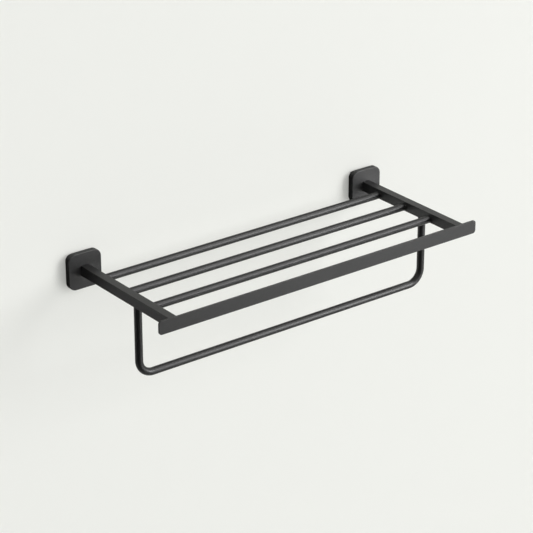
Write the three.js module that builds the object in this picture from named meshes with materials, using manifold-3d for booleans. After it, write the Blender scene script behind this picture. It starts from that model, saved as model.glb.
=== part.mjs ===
// Towel rack with shelf, fixed to a wall by two square flanges.
// Two square arms carry three round rods and a flat front strip, which make the shelf, and a round
// rail, bent down at both ends, hangs under the arms for towels.
// Millimetres. +X runs to the right along the rack, +Y into the wall and +Z up.
// The origin lies on the wall, midway between the flanges, at the height of the arms' centre line.
import * as THREE from 'three';
import { mergeVertices } from 'three/addons/utils/BufferGeometryUtils.js';
import Module from 'manifold-3d';

// Overall layout
const stripLength = 600; // the rack's nominal width
const stripOverhang = 28; // of the strip past each arm's centre line
const shelfDepth = 246.2; // from the wall to the strip's front face
const seatGap = 0.3; // clearance where one piece enters another
const overrun = 2; // how far a cutting tool runs past the surface that it cuts

// Front strip
const stripHeight = 21.6;
const stripThickness = 3;
const stripCornerRadius = 5;
const stripEdgeRadius = 0.4;
const studDiameter = 6;
const studLength = 17;
const studSeatDepth = 1.6; // how far a stud enters the strip's back

// Arms
const armWidth = 14;
const armHeight = 16;
const armEdgeRadius = 0.6;
const armSocketDepth = 0.8; // how far an arm enters the flange's face

// Shelf rods
const rodDiameter = 12;
const rearRodDistance = 53; // from the wall to the first rod's axis
const rodPitch = 61.9;
const rodSpigotDiameter = 8;
const rodSpigotLength = 8.5;

// Towel rail
const railDiameter = 12;
const railDistance = 151.6; // from the wall to the rail's axis
const railDrop = 120.2; // from the arms' centre line down to the rail's axis
const railBendRadius = 24; // of the bends' centre line
const railSpigotDiameter = 8;
const railSpigotLength = 9.5;
const spigotChamfer = 0.6;

// Flange: the hollow front layer
const flangeSize = 58;
const flangeThickness = 8.8;
const flangeCornerRadius = 13;
const flangeEdgeRadius = 1.2;
const flangeFaceWall = 3.4;
const flangeSideWall = 7.2;

// Wall base: the rear layer of each flange, with a boss that the front layer fits over
const baseInset = 3.5; // from the flange's outline in to the base's
const baseThickness = 5.5;
const baseEdgeRadius = 0.6;
const bossHeight = 4.6;
const bossCornerRadius = 6;

// Arm bolt and its spring washer
const boltDiameter = 6;
const boltReach = 16; // of the shank into the arm
const boltHeadDiameter = 10;
const boltHeadHeight = 3.2;
const boltSocketWidth = 4;
const boltSocketDepth = 1.8;
const washerDiameter = 9.6;
const washerThickness = 1.2;
const washerSplit = 0.9;
const headPocketDiameter = 14;

// Set screws
const setScrewDiameter = 3;
const setScrewRecess = 0.6; // below the surface that the screw enters
const setScrewSocketWidth = 1.5;
const setScrewSocketDepth = 1.4;
const detentDepth = 1.2; // of the pocket for the screw's point in the boss
const stripScrewDistance = 8; // from the strip's back to the screw's axis

// Wall screws and plugs
const wallScrewInset = 7.5; // from the boss's edge to the screw's axis
const wallScrewDiameter = 4.2;
const wallScrewLength = 40;
const wallScrewPointLength = 6;
const wallScrewHeadDiameter = 8;
const wallScrewHeadRim = 0.5;
const crossWidth = 1.2;
const crossLength = 4.4;
const crossDepth = 1.4;
const plugDiameter = 8;
const plugLength = 34;
const plugRibDepth = 0.4;
const plugRibCount = 5;
const plugSlotWidth = 1.2;
const plugSlotShare = 0.6;

// Facets
const rodSides = 32;
const railSides = 28;
const screwSides = 16;
const bendSteps = 12;
const cornerSteps = 8;
const armCornerSteps = 3;
const bevelSteps = 3;
const stripBevelSteps = 2;
const socketSides = 6;

// Places that follow from the sizes above, as distances in front of the wall or above the arms' centre
const armSpacing = stripLength - 2 * stripOverhang; // between the arms' centre lines
const stripBack = shelfDepth - stripThickness;
const flangeFront = baseThickness + flangeThickness;
const armBack = flangeFront - armSocketDepth;
const rodLength = armSpacing - armWidth;
const rodLevel = (rodDiameter - armHeight) / 2;
const bossFront = baseThickness + bossHeight;
const cavityFront = flangeFront - flangeFaceWall;
const baseSize = flangeSize - 2 * baseInset;
const baseCornerRadius = flangeCornerRadius - baseInset;
const cavitySize = flangeSize - 2 * flangeSideWall;
const bossSize = cavitySize - 2 * seatGap;
const wallScrewSpacing = bossSize - 2 * wallScrewInset;
const rodDistances = [0, 1, 2].map((i) => rearRodDistance + i * rodPitch);

const wasm = await Module();
wasm.setup();

// Turns a closed geometry into a solid that can be joined and cut.
function solidFrom(geometry) {
  const bare = geometry.clone();
  bare.deleteAttribute('normal');
  bare.deleteAttribute('uv');
  const merged = mergeVertices(bare);
  const corners = merged.index.array;
  const kept = [];
  for (let i = 0; i < corners.length; i += 3) {
    const [a, b, c] = [corners[i], corners[i + 1], corners[i + 2]];
    if (a !== b && b !== c && c !== a) kept.push(a, b, c);
  }
  return new wasm.Manifold(new wasm.Mesh({
    numProp: 3,
    vertProperties: Float32Array.from(merged.attributes.position.array),
    triVerts: Uint32Array.from(kept),
  }));
}

function geometryFrom(solid) {
  const mesh = solid.getMesh();
  const geometry = new THREE.BufferGeometry();
  geometry.setAttribute('position', new THREE.BufferAttribute(Float32Array.from(mesh.vertProperties), 3));
  geometry.setIndex([...mesh.triVerts]);
  geometry.computeVertexNormals();
  return geometry;
}

function cut(body, tools) {
  return tools.reduce((solid, tool) => solid.subtract(solidFrom(tool)), body);
}

// A revolved piece. Its profile lists [radius, distance along the axis] from one end to the other.
function turned(profile, axis, sides = screwSides) {
  const points = profile.map(([radius, along]) => new THREE.Vector2(radius, along));
  const geometry = new THREE.LatheGeometry(points, sides);
  if (axis === 'x') geometry.rotateZ(-Math.PI / 2);
  if (axis === 'z') geometry.rotateX(Math.PI / 2);
  return geometry;
}

function cylinder(axis, diameter, from, to, sides = screwSides) {
  const radius = diameter / 2;
  return turned([[0, from], [radius, from], [radius, to], [0, to]], axis, sides);
}

function roundedRectangle(width, height, radius) {
  const shape = new THREE.Shape();
  const x = width / 2 - radius;
  const y = height / 2 - radius;
  shape.absarc(x, y, radius, 0, Math.PI / 2);
  shape.absarc(-x, y, radius, Math.PI / 2, Math.PI);
  shape.absarc(-x, -y, radius, Math.PI, Math.PI * 1.5);
  shape.absarc(x, -y, radius, Math.PI * 1.5, Math.PI * 2);
  return shape;
}

// A prism of an outline drawn in X and Z, from one distance in front of the wall to another.
function prism(shape, from, to, curveSegments = cornerSteps) {
  const geometry = new THREE.ExtrudeGeometry(shape, {
    depth: to - from,
    bevelEnabled: false,
    curveSegments,
  });
  return geometry.rotateX(Math.PI / 2).translate(0, -from, 0);
}

// The same, with its front edge rounded. The rounded rear edge is cut away with the tail behind it.
function roundedPrism(shape, from, to, radius) {
  const tail = radius + overrun;
  const body = new THREE.ExtrudeGeometry(shape, {
    depth: to - from + tail - 2 * radius,
    bevelEnabled: true,
    bevelThickness: radius,
    bevelSize: radius,
    bevelOffset: -radius,
    bevelSegments: bevelSteps,
    curveSegments: cornerSteps,
  });
  body.rotateX(Math.PI / 2).translate(0, tail - from - radius, 0);
  body.computeBoundingBox();
  const span = body.boundingBox.getSize(new THREE.Vector3());
  const behind = new THREE.BoxGeometry(span.x + overrun, tail + overrun, span.z + overrun);
  behind.translate(0, (tail + overrun) / 2 - from, 0);
  return cut(solidFrom(body), [behind]);
}

// A round bar through a row of stations in the X-Z plane, each with its place, direction and radius.
function roundBar(stations, sides) {
  const positions = [];
  const indices = [];
  const across = new THREE.Vector3(0, 1, 0);
  for (const { place, direction, radius } of stations) {
    const outward = new THREE.Vector3().crossVectors(across, direction);
    for (let i = 0; i < sides; i++) {
      const angle = (2 * Math.PI * i) / sides;
      const point = place.clone();
      point.addScaledVector(outward, radius * Math.cos(angle));
      point.addScaledVector(across, radius * Math.sin(angle));
      positions.push(...point.toArray());
    }
  }
  for (let ring = 0; ring < stations.length - 1; ring++) {
    for (let i = 0; i < sides; i++) {
      const a = ring * sides + i;
      const b = ring * sides + ((i + 1) % sides);
      indices.push(a, b, a + sides, b, b + sides, a + sides);
    }
  }
  const last = (stations.length - 1) * sides;
  for (let i = 1; i < sides - 1; i++) {
    indices.push(0, i + 1, i);
    indices.push(last, last + i, last + i + 1);
  }
  const geometry = new THREE.BufferGeometry();
  geometry.setAttribute('position', new THREE.Float32BufferAttribute(positions, 3));
  geometry.setIndex(indices);
  geometry.computeVertexNormals();
  return geometry;
}

// A blind bore for a piece of the given diameter that reaches from the surface to a depth.
function bore(axis, diameter, surface, bottom) {
  const outside = surface + overrun * Math.sign(surface - bottom);
  return cylinder(axis, diameter + 2 * seatGap, Math.min(outside, bottom), Math.max(outside, bottom));
}

function hexSocket(axis, width, from, to) {
  const diameter = width / Math.cos(Math.PI / socketSides);
  return cylinder(axis, diameter, from, to, socketSides);
}

function setScrewForm(bottom, top) {
  const body = cylinder('z', setScrewDiameter, bottom, top);
  const socket = hexSocket('z', setScrewSocketWidth, bottom - overrun, bottom + setScrewSocketDepth);
  return cut(solidFrom(body), [socket]);
}

// Wall screws: heads flush with the boss, points in the wall
const screwHeadDepth = (wallScrewHeadDiameter - wallScrewDiameter) / 2;
const screwShoulder = wallScrewHeadRim + screwHeadDepth - bossFront;
const screwTip = wallScrewLength - bossFront;

function wallScrewForm() {
  const headRadius = wallScrewHeadDiameter / 2;
  const shankRadius = wallScrewDiameter / 2;
  const screw = turned([
    [0, -bossFront],
    [headRadius, -bossFront],
    [headRadius, wallScrewHeadRim - bossFront],
    [shankRadius, screwShoulder],
    [shankRadius, screwTip - wallScrewPointLength],
    [0, screwTip],
  ], 'y');
  const floor = crossDepth - bossFront;
  const middle = floor - (crossDepth + overrun) / 2;
  const upright = new THREE.BoxGeometry(crossWidth, crossDepth + overrun, crossLength);
  const level = new THREE.BoxGeometry(crossLength, crossDepth + overrun, crossWidth);
  return cut(solidFrom(screw), [upright.translate(0, middle, 0), level.translate(0, middle, 0)]);
}

// The hole for a wall screw follows the screw's outline at the clearance.
function wallScrewHole() {
  const headRadius = wallScrewHeadDiameter / 2 + seatGap;
  const shankRadius = wallScrewDiameter / 2 + seatGap;
  return turned([
    [0, -bossFront - overrun],
    [headRadius, -bossFront - overrun],
    [headRadius, wallScrewHeadRim - bossFront],
    [shankRadius, screwShoulder],
    [shankRadius, overrun],
    [0, overrun],
  ], 'y');
}

// Wall plug: a ribbed sleeve, split from its far end so that the screw can spread it
function wallPlugForm() {
  const outer = plugDiameter / 2;
  const inner = wallScrewDiameter / 2 + seatGap;
  const pitch = plugLength / (plugRibCount + 1);
  const profile = [[inner, seatGap], [outer, seatGap]];
  for (let i = 1; i <= plugRibCount; i++) {
    profile.push([outer, i * pitch]);
    profile.push([outer - plugRibDepth, i * pitch + plugRibDepth]);
  }
  profile.push([outer - plugRibDepth, plugLength], [inner, plugLength], [inner, seatGap]);
  const sleeve = turned(profile, 'y');
  const slotLength = plugLength * plugSlotShare + overrun;
  const slot = new THREE.BoxGeometry(plugSlotWidth, slotLength, plugDiameter + overrun);
  return cut(solidFrom(sleeve), [slot.translate(0, plugLength + overrun - slotLength / 2, 0)]);
}

// Arm bolt: its head and washer sit in the flange's cavity, its shank in the arm's rear end
const headBack = cavityFront - washerThickness - boltHeadHeight;

function armBoltForm() {
  const shankRadius = boltDiameter / 2;
  const headRadius = boltHeadDiameter / 2;
  const headFront = cavityFront - washerThickness;
  const bolt = turned([
    [0, -armBack - boltReach],
    [shankRadius - spigotChamfer, -armBack - boltReach],
    [shankRadius, spigotChamfer - armBack - boltReach],
    [shankRadius, -headFront],
    [headRadius, -headFront],
    [headRadius, -headBack],
    [0, -headBack],
  ], 'y');
  const socket = hexSocket('y', boltSocketWidth, -headBack - boltSocketDepth, overrun - headBack);
  return cut(solidFrom(bolt), [socket]);
}

function washerForm() {
  const outer = washerDiameter / 2;
  const inner = boltDiameter / 2 + seatGap;
  const back = washerThickness - cavityFront;
  const ring = turned([
    [inner, -cavityFront],
    [outer, -cavityFront],
    [outer, back],
    [inner, back],
    [inner, -cavityFront],
  ], 'y');
  const split = new THREE.BoxGeometry(washerSplit, washerThickness + 2 * overrun, outer + overrun);
  return cut(solidFrom(ring), [split.translate(0, back - washerThickness / 2, (outer + overrun) / 2)]);
}

// Flange set screw: through the flange's lower wall into a pocket in the boss's underside
const flangeScrewLevel = -(baseThickness + bossHeight / 2);
const detentFloor = detentDepth - bossSize / 2;

function wallBaseForm() {
  const plate = roundedPrism(
    roundedRectangle(baseSize, baseSize, baseCornerRadius), 0, baseThickness, baseEdgeRadius);
  const boss = prism(
    roundedRectangle(bossSize, bossSize, bossCornerRadius), baseThickness / 2, bossFront);
  const headPocket = cylinder('y', headPocketDiameter, -bossFront - overrun, 2 * seatGap - headBack);
  const detent = bore('z', setScrewDiameter, -bossSize / 2, detentFloor);
  return cut(plate.add(solidFrom(boss)), [
    headPocket,
    detent.translate(0, flangeScrewLevel, 0),
    wallScrewHole().translate(0, 0, wallScrewSpacing / 2),
    wallScrewHole().translate(0, 0, -wallScrewSpacing / 2),
  ]);
}

function flangeForm() {
  const shell = roundedPrism(
    roundedRectangle(flangeSize, flangeSize, flangeCornerRadius),
    baseThickness, flangeFront, flangeEdgeRadius);
  const cavity = prism(
    roundedRectangle(cavitySize, cavitySize, bossCornerRadius + seatGap),
    baseThickness - overrun, cavityFront);
  const socket = prism(
    roundedRectangle(armWidth + 2 * seatGap, armHeight + 2 * seatGap, armEdgeRadius + seatGap),
    armBack, flangeFront + overrun, armCornerSteps);
  const boltHole = cylinder('y', boltDiameter + 2 * seatGap, -flangeFront, overrun - cavityFront);
  const screwHole = bore('z', setScrewDiameter, -flangeSize / 2, -bossSize / 2);
  return cut(shell, [cavity, socket, boltHole, screwHole.translate(0, flangeScrewLevel, 0)]);
}

// Arm, centred on X. The inner side, which the rods enter, faces the other arm.
function armForm(side) {
  const outline = roundedRectangle(armWidth, armHeight, armEdgeRadius);
  const bar = prism(outline, armBack, stripBack, armCornerSteps);
  const innerFace = -side * armWidth / 2;
  const underside = -armHeight / 2;
  const rodBores = rodDistances.map((distance) => {
    const bottom = innerFace + side * (rodSpigotLength + seatGap);
    return bore('x', rodSpigotDiameter, innerFace, bottom).translate(0, -distance, rodLevel);
  });
  const railBore = bore('z', railSpigotDiameter, underside, underside + railSpigotLength + seatGap);
  const studBore = bore('y', studDiameter, -stripBack, studLength - studSeatDepth + seatGap - stripBack);
  const boltBore = bore('y', boltDiameter, -armBack, -armBack - boltReach - seatGap);
  const screwHole = bore('z', setScrewDiameter, underside, 0);
  return cut(solidFrom(bar), [
    ...rodBores,
    railBore.translate(0, -railDistance, 0),
    studBore,
    boltBore,
    screwHole.translate(0, stripScrewDistance - stripBack, 0),
  ]);
}

// Shelf rod: a shoulder at each end meets the arm, and a spigot enters it
function rodForm() {
  const end = rodLength / 2;
  const tip = end + rodSpigotLength;
  const radius = rodDiameter / 2;
  const spigot = rodSpigotDiameter / 2;
  return turned([
    [0, -tip],
    [spigot - spigotChamfer, -tip],
    [spigot, spigotChamfer - tip],
    [spigot, -end],
    [radius, -end],
    [radius, end],
    [spigot, end],
    [spigot, tip - spigotChamfer],
    [spigot - spigotChamfer, tip],
    [0, tip],
  ], 'x', rodSides);
}

// Towel rail: down from the left arm, round two bends and up to the right arm
function railForm() {
  const radius = railDiameter / 2;
  const spigot = railSpigotDiameter / 2;
  const legX = armSpacing / 2;
  const shoulder = -armHeight / 2;
  const tip = shoulder + railSpigotLength;
  const down = new THREE.Vector3(0, 0, -1);
  const leg = [
    { place: new THREE.Vector3(-legX, 0, tip), direction: down, radius: spigot - spigotChamfer },
    { place: new THREE.Vector3(-legX, 0, tip - spigotChamfer), direction: down, radius: spigot },
    { place: new THREE.Vector3(-legX, 0, shoulder), direction: down, radius: spigot },
    { place: new THREE.Vector3(-legX, 0, shoulder), direction: down, radius },
  ];
  const bend = [];
  for (let i = 0; i <= bendSteps; i++) {
    const angle = (Math.PI / 2) * (i / bendSteps);
    const place = new THREE.Vector3(
      railBendRadius * (1 - Math.cos(angle)) - legX, 0,
      railBendRadius * (1 - Math.sin(angle)) - railDrop);
    bend.push({ place, direction: new THREE.Vector3(Math.sin(angle), 0, -Math.cos(angle)), radius });
  }
  const leftHalf = [...leg, ...bend];
  const rightHalf = leftHalf.map((station) => ({
    place: new THREE.Vector3(-station.place.x, 0, station.place.z),
    direction: new THREE.Vector3(station.direction.x, 0, -station.direction.z),
    radius: station.radius,
  })).reverse();
  return roundBar([...leftHalf, ...rightHalf], railSides);
}

// Front strip: all its edges eased, with a shallow seat for each stud in its back
function stripForm() {
  const body = new THREE.ExtrudeGeometry(
    roundedRectangle(stripLength, stripHeight, stripCornerRadius), {
      depth: stripThickness - 2 * stripEdgeRadius,
      bevelEnabled: true,
      bevelThickness: stripEdgeRadius,
      bevelSize: stripEdgeRadius,
      bevelOffset: -stripEdgeRadius,
      bevelSegments: stripBevelSteps,
      curveSegments: cornerSteps,
    });
  body.rotateX(Math.PI / 2).translate(0, -stripBack - stripEdgeRadius, 0);
  const seats = [-1, 1].map((side) => {
    const tool = bore('y', studDiameter, -stripBack, -stripBack - studSeatDepth - seatGap);
    return tool.translate(side * armSpacing / 2, 0, 0);
  });
  return cut(solidFrom(body), seats);
}

const paint = { color: 0x2b2b2b, roughness: 0.55, metalness: 0.2 };
const zinc = { color: 0xb4b8ba, roughness: 0.4, metalness: 0.9 };
const blackSteel = { color: 0x1d1e20, roughness: 0.45, metalness: 0.8 };
const plastic = { color: 0x8c8f90, roughness: 0.7, metalness: 0 };

function piece(name, form, finish) {
  const geometry = form.isBufferGeometry ? form : geometryFrom(form);
  const mesh = new THREE.Mesh(geometry, new THREE.MeshStandardMaterial(finish));
  mesh.name = name;
  return mesh;
}

const rack = new THREE.Group();

for (const [label, side] of [['left', -1], ['right', 1]]) {
  const bracket = new THREE.Group();
  bracket.position.x = side * armSpacing / 2;
  bracket.add(piece(`${label}_wall_base`, wallBaseForm(), paint));
  bracket.add(piece(`${label}_flange`, flangeForm(), paint));
  bracket.add(piece(`${label}_arm`, armForm(side), paint));
  bracket.add(piece(`${label}_arm_bolt`, armBoltForm(), blackSteel));
  bracket.add(piece(`${label}_spring_washer`, washerForm(), zinc));

  const flangeScrew = piece(
    `${label}_flange_set_screw`,
    setScrewForm(setScrewRecess - flangeSize / 2, detentFloor - seatGap),
    blackSteel);
  flangeScrew.position.y = flangeScrewLevel;
  bracket.add(flangeScrew);

  const stripScrew = piece(
    `${label}_strip_set_screw`,
    setScrewForm(setScrewRecess - armHeight / 2, -studDiameter / 2 - seatGap),
    blackSteel);
  stripScrew.position.y = stripScrewDistance - stripBack;
  bracket.add(stripScrew);

  const stud = piece(
    `${label}_strip_stud`,
    cylinder('y', studDiameter, 0, studLength),
    zinc);
  stud.position.y = -stripBack - studSeatDepth;
  bracket.add(stud);

  for (const [level, direction] of [['upper', 1], ['lower', -1]]) {
    const fixing = new THREE.Group();
    fixing.position.z = direction * wallScrewSpacing / 2;
    fixing.add(piece(`${label}_${level}_wall_screw`, wallScrewForm(), zinc));
    fixing.add(piece(`${label}_${level}_wall_plug`, wallPlugForm(), plastic));
    bracket.add(fixing);
  }
  rack.add(bracket);
}

for (const [i, label] of ['rear', 'middle', 'front'].entries()) {
  const rod = piece(`${label}_rod`, rodForm(), paint);
  rod.position.set(0, -rodDistances[i], rodLevel);
  rack.add(rod);
}

const rail = piece('towel_rail', railForm(), paint);
rail.position.y = -railDistance;
rack.add(rail);

rack.add(piece('front_strip', stripForm(), paint));

export default rack;
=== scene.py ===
import math

import bmesh
import bpy
from mathutils import Matrix, Vector


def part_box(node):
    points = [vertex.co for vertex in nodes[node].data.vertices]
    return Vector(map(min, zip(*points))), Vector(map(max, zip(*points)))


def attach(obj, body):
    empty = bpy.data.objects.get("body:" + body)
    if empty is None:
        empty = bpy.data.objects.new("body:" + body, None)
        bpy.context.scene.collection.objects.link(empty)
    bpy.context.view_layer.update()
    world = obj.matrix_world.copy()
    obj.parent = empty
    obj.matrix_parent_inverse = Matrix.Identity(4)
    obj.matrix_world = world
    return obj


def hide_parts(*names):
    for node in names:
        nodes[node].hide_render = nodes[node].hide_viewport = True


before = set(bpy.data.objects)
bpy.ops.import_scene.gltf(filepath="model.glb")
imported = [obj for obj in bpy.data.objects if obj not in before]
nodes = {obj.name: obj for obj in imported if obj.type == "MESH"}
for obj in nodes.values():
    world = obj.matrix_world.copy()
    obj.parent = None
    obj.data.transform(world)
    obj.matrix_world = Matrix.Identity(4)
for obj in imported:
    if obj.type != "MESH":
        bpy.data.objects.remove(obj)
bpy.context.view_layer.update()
sides = {"left": -1, "right": 1}
print("frame loaded:", len(nodes), "nodes")

# The camera stands where the photograph was taken from, in front of the left end
view = {
    "place": (-1.8929, -2.5719, 1.3702),
    "turn": 37.476,      # degrees to the right of straight at the wall
    "tilt": 24.344,      # degrees downwards
    "lens": 150.27,
    "sensor": 36,
    "near": 0.05,
    "far": 60,
}
lensData = bpy.data.cameras.new("photoCamera")
lensData.lens = view["lens"]
lensData.sensor_width = view["sensor"]
lensData.clip_start = view["near"]
lensData.clip_end = view["far"]
photoCamera = bpy.data.objects.new("photoCamera", lensData)
photoCamera.location = view["place"]
photoCamera.rotation_euler = (
    math.radians(90 - view["tilt"]), 0, -math.radians(view["turn"]))
scene = bpy.context.scene
scene.collection.objects.link(photoCamera)
scene.camera = photoCamera
scene.view_settings.view_transform = "Standard"
print("camera placed")


def addNode(tree, kind, settings=None, **values):
    node = tree.nodes.new(kind)
    for key, value in (settings or {}).items():
        setattr(node, key, value)
    for key, value in values.items():
        node.inputs[key].default_value = value
    return node


def newMaterial(name):
    material = bpy.data.materials.new(name)
    material.use_nodes = True
    tree = material.node_tree
    tree.nodes.clear()
    output = tree.nodes.new("ShaderNodeOutputMaterial")
    return material, tree, output


def shaderGroup(name, inputs, outputs):
    tree = bpy.data.node_groups.new(name, "ShaderNodeTree")
    for label, kind, value in inputs:
        socket = tree.interface.new_socket(name=label, in_out="INPUT", socket_type=kind)
        if value is not None:
            socket.default_value = value
    for label, kind in outputs:
        tree.interface.new_socket(name=label, in_out="OUTPUT", socket_type=kind)
    return tree, tree.nodes.new("NodeGroupInput"), tree.nodes.new("NodeGroupOutput")


# Fine texture of a sprayed or plated skin: a height for bump and a slow, cloudy variation
def makeSkinGrain():
    tree, given, result = shaderGroup(
        "skinGrain",
        [("Grain size", "NodeSocketFloat", 0.0006),
         ("Cloud size", "NodeSocketFloat", 0.03)],
        [("Height", "NodeSocketFloat"), ("Cloud", "NodeSocketFloat")])
    link = tree.links.new
    place = addNode(tree, "ShaderNodeTexCoord")
    for label, socket, detail in (("Grain size", "Height", 2), ("Cloud size", "Cloud", 3)):
        scale = addNode(tree, "ShaderNodeMath", {"operation": "DIVIDE"})
        scale.inputs[0].default_value = 1
        noise = addNode(tree, "ShaderNodeTexNoise", None, Detail=detail, Roughness=0.5)
        link(given.outputs[label], scale.inputs[1])
        link(scale.outputs[0], noise.inputs["Scale"])
        link(place.outputs["Object"], noise.inputs["Vector"])
        link(noise.outputs["Fac"], result.inputs[socket])
    return tree


# Where an edge is worn: the piece's own edgeWear attribute, broken up by noise
def makeEdgeRub():
    tree, given, result = shaderGroup(
        "edgeRub",
        [("Break size", "NodeSocketFloat", 0.004), ("Strength", "NodeSocketFloat", 1)],
        [("Mask", "NodeSocketFloat")])
    link = tree.links.new
    edge = addNode(tree, "ShaderNodeAttribute", {"attribute_name": "edgeWear"})
    place = addNode(tree, "ShaderNodeTexCoord")
    scale = addNode(tree, "ShaderNodeMath", {"operation": "DIVIDE"})
    scale.inputs[0].default_value = 1
    noise = addNode(tree, "ShaderNodeTexNoise", None, Detail=3)
    broken = addNode(tree, "ShaderNodeMath", {"operation": "MULTIPLY"})
    strong = addNode(tree, "ShaderNodeMath", {"operation": "MULTIPLY", "use_clamp": True})
    link(given.outputs["Break size"], scale.inputs[1])
    link(scale.outputs[0], noise.inputs["Scale"])
    link(place.outputs["Object"], noise.inputs["Vector"])
    link(edge.outputs["Fac"], broken.inputs[0])
    link(noise.outputs["Fac"], broken.inputs[1])
    link(broken.outputs[0], strong.inputs[0])
    link(given.outputs["Strength"], strong.inputs[1])
    link(strong.outputs[0], result.inputs["Mask"])
    return tree


skinGrain = makeSkinGrain()
edgeRub = makeEdgeRub()

finishes = {
    "blackPowderCoat": {
        "colour": (0.006, 0.006, 0.006), "cloudColour": (0.008, 0.008, 0.008),
        "edgeColour": (0.03, 0.03, 0.03), "metallic": 0,
        "smooth": 0.36, "rough": 0.42, "edgeRough": 0.33, "ior": 1.36,
        "grainSize": 0.0007, "cloudSize": 0.035, "bump": 0.000012,
    },
    # The flanges, whose castings take the powder rougher than the drawn bars
    "blackCastCoat": {
        "colour": (0.006, 0.006, 0.006), "cloudColour": (0.008, 0.008, 0.008),
        "edgeColour": (0.03, 0.03, 0.03), "metallic": 0,
        "smooth": 0.5, "rough": 0.56, "edgeRough": 0.42, "ior": 1.43,
        "grainSize": 0.0007, "cloudSize": 0.035, "bump": 0.000012,
    },
    # The wall bases, a near-black layer behind the flanges: a darker, duller copy of the black
    # paint, as painted shade
    "paintedShadeBlackCoat": {
        "colour": (0.004, 0.004, 0.004), "cloudColour": (0.006, 0.006, 0.006),
        "edgeColour": (0.01, 0.01, 0.01), "metallic": 0,
        "smooth": 0.55, "rough": 0.66, "edgeRough": 0.5, "ior": 1.17,
        "grainSize": 0.0006, "cloudSize": 0.02, "bump": 0.00001,
    },
    "blackOxide": {
        "colour": (0.028, 0.028, 0.031), "cloudColour": (0.04, 0.04, 0.044),
        "edgeColour": (0.16, 0.16, 0.165), "metallic": 0.85,
        "smooth": 0.3, "rough": 0.46, "edgeRough": 0.28,
        "grainSize": 0.0003, "cloudSize": 0.004, "bump": 0.000006,
    },
    "zincPlate": {
        "colour": (0.52, 0.53, 0.54), "cloudColour": (0.6, 0.6, 0.59),
        "edgeColour": (0.7, 0.7, 0.7), "metallic": 1,
        "smooth": 0.24, "rough": 0.42, "edgeRough": 0.2,
        "grainSize": 0.0004, "cloudSize": 0.003, "bump": 0.000006,
    },
    "greyNylon": {
        "colour": (0.26, 0.27, 0.28), "cloudColour": (0.29, 0.3, 0.31),
        "edgeColour": (0.34, 0.35, 0.36), "metallic": 0,
        "smooth": 0.48, "rough": 0.62, "edgeRough": 0.45,
        "grainSize": 0.0005, "cloudSize": 0.006, "bump": 0.00001,
    },
}


def makeFinish(name, given):
    material, tree, output = newMaterial(name)
    link = tree.links.new
    grain = addNode(tree, "ShaderNodeGroup", {"node_tree": skinGrain})
    grain.inputs["Grain size"].default_value = given["grainSize"]
    grain.inputs["Cloud size"].default_value = given["cloudSize"]
    rub = addNode(tree, "ShaderNodeGroup", {"node_tree": edgeRub})
    tone = addNode(tree, "ShaderNodeMix", {"data_type": "RGBA"})
    tone.inputs[6].default_value = (*given["colour"], 1)
    tone.inputs[7].default_value = (*given["cloudColour"], 1)
    edge = addNode(tree, "ShaderNodeMix", {"data_type": "RGBA"})
    edge.inputs[7].default_value = (*given["edgeColour"], 1)
    dull = addNode(tree, "ShaderNodeMapRange")
    dull.inputs["To Min"].default_value = given["smooth"]
    dull.inputs["To Max"].default_value = given["rough"]
    polish = addNode(tree, "ShaderNodeMix", {"data_type": "FLOAT"})
    polish.inputs[3].default_value = given["edgeRough"]
    bump = addNode(tree, "ShaderNodeBump", None, Distance=given["bump"])
    skin = addNode(tree, "ShaderNodeBsdfPrincipled", None, Metallic=given["metallic"],
                   IOR=given.get("ior", 1.5))
    link(grain.outputs["Cloud"], tone.inputs[0])
    link(tone.outputs[2], edge.inputs[6])
    link(rub.outputs["Mask"], edge.inputs[0])
    link(edge.outputs[2], skin.inputs["Base Color"])
    link(grain.outputs["Cloud"], dull.inputs["Value"])
    link(dull.outputs["Result"], polish.inputs[2])
    link(rub.outputs["Mask"], polish.inputs[0])
    link(polish.outputs[0], skin.inputs["Roughness"])
    link(grain.outputs["Height"], bump.inputs["Height"])
    link(bump.outputs["Normal"], skin.inputs["Normal"])
    link(skin.outputs[0], output.inputs["Surface"])
    return material


paint = {name: makeFinish(name, given) for name, given in finishes.items()}
print("finishes made:", ", ".join(paint))


def newPiece(name, mesh):
    piece = bpy.data.objects.new(name, mesh)
    scene.collection.objects.link(piece)
    return piece


def meshFrom(name, vertices, faces, edges=()):
    mesh = bpy.data.meshes.new(name)
    mesh.from_pydata(vertices, edges, faces)
    mesh.update()
    return mesh


# Skins a stack of rings that all have the same number of points, and closes both ends
def ringStack(name, rings):
    count = len(rings[0])
    vertices = [point for ring in rings for point in ring]
    faces = [[*range(count)][::-1]]
    for level in range(len(rings) - 1):
        low, high = level * count, (level + 1) * count
        for i in range(count):
            j = (i + 1) % count
            faces.append([low + i, low + j, high + j, high + i])
    faces.append([*range((len(rings) - 1) * count, len(rings) * count)])
    mesh = meshFrom(name, vertices, faces)
    pointOutwards(mesh)
    return newPiece(name, mesh)


def pointOutwards(mesh):
    work = bmesh.new()
    work.from_mesh(mesh)
    bmesh.ops.recalc_face_normals(work, faces=work.faces)
    work.to_mesh(mesh)
    work.free()


def roundedOutline(width, height, radius, steps):
    points = []
    for corner, (sideX, sideZ) in enumerate(((1, 1), (-1, 1), (-1, -1), (1, -1))):
        for step in range(steps + 1):
            angle = math.pi / 2 * (corner + step / steps)
            points.append((
                sideX * (width / 2 - radius) + radius * math.cos(angle),
                sideZ * (height / 2 - radius) + radius * math.sin(angle)))
    return points


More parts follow.
